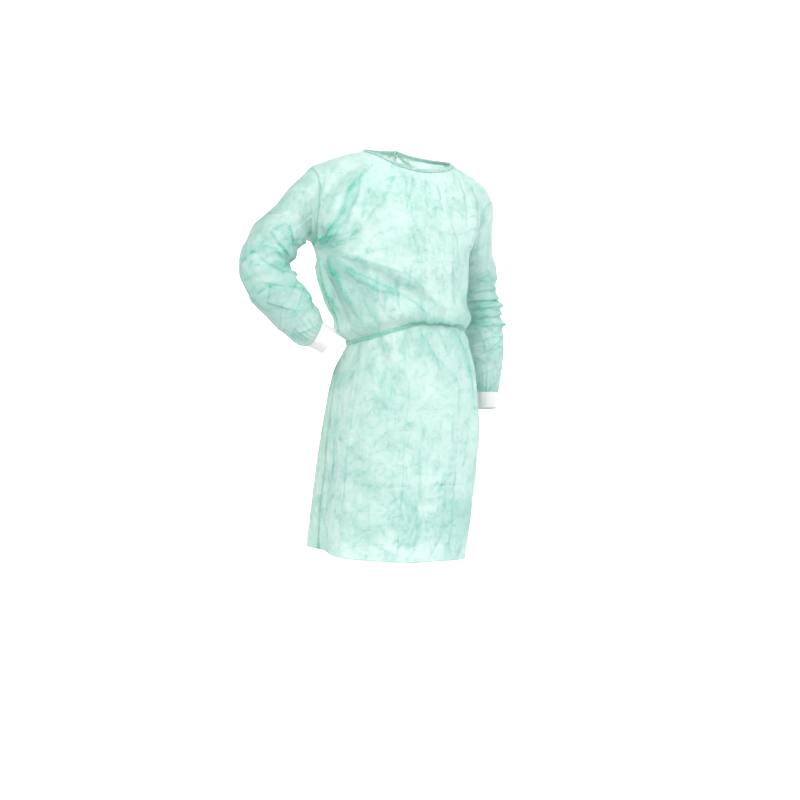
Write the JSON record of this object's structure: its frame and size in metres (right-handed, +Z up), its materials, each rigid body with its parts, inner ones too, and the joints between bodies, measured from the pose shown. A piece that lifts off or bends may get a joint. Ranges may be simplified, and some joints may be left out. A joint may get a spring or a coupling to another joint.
{
  "type": "disposable gown",
  "caption": "Disposable gown of thin mint-green non-woven cloth, worn and hollow: long sleeves, white knit cuffs, a narrow belt and ties at the back.",
  "frame": {"origin": "middle of the neck opening at the height of the higher shoulder, where the wearer holds the gown up", "axes": "+Z up along the wearer's spine, -Y the way the front faces, +X towards the wearer's left"},
  "size_m": [0.7517, 0.3555, 1.0666],
  "materials": {
    "nonwoven": "thin translucent spun-bonded polypropylene with a fine embossed dot, matt",
    "tie": "the same cloth folded to a narrow crumpled strap, matt",
    "rib_knit": "white rib knit, matt"
  },
  "bodies": {
    "root": {"front": "nonwoven", "back_right": "nonwoven", "back_left": "nonwoven", "sleeve_right": "nonwoven", "sleeve_left": "nonwoven", "neck_binding": "nonwoven", "cuff_right": "rib_knit", "cuff_left": "rib_knit", "belt": "tie", "neck_tie_knot": "tie", "neck_tie_loop_right": "tie", "neck_tie_loop_left": "tie", "neck_tie_tail_right": "tie", "neck_tie_tail_left": "tie", "belt_tie_knot": "tie", "belt_tie_loop_right": "tie", "belt_tie_loop_left": "tie", "belt_tie_tail_right": "tie", "belt_tie_tail_left": "tie"}
  },
  "joints": []
}
